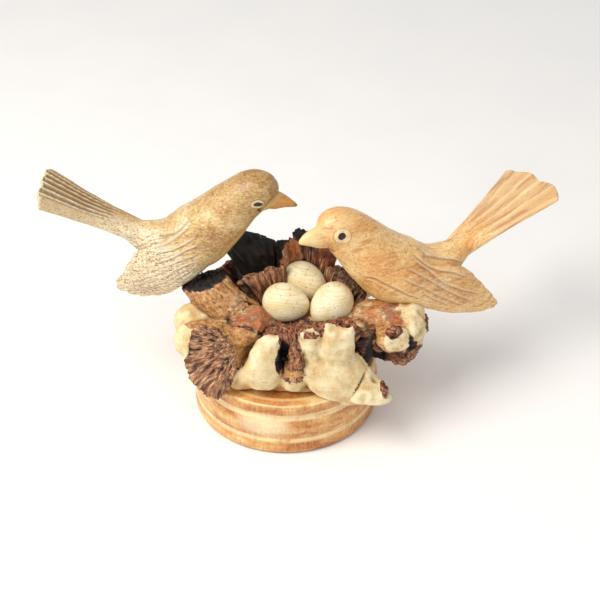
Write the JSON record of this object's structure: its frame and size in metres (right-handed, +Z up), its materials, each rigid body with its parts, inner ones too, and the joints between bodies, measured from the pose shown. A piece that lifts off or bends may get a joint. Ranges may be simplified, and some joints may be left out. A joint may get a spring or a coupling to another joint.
{
  "type": "carved bird pair on parasite wood nest",
  "caption": "Carved wooden birds face each other over a nest of knotted parasite wood with eggs, on a round turned wooden base.",
  "frame": {"origin": "centre of the turned base's flat underside", "axes": "+X along the row of birds to the viewer's right, +Y to the back, +Z up"},
  "size_m": [0.2747, 0.1291, 0.1377],
  "materials": {
    "base_wood": "varnished, with pale growth rings",
    "parasite_wood": "cream smooth skin, dark reddish-brown fibrous broken faces",
    "left_bird_wood": "clear varnish over fine speckled grain",
    "right_bird_wood": "clear varnish over fine speckled grain",
    "egg_wood": "satin pale wood"
  },
  "bodies": {
    "root": {"turned_base": "base_wood", "parasite_wood_nest": "parasite_wood", "left_bird": "left_bird_wood", "right_bird": "right_bird_wood", "egg_front_left": "egg_wood", "egg_front_right": "egg_wood", "egg_back": "egg_wood"}
  },
  "joints": []
}
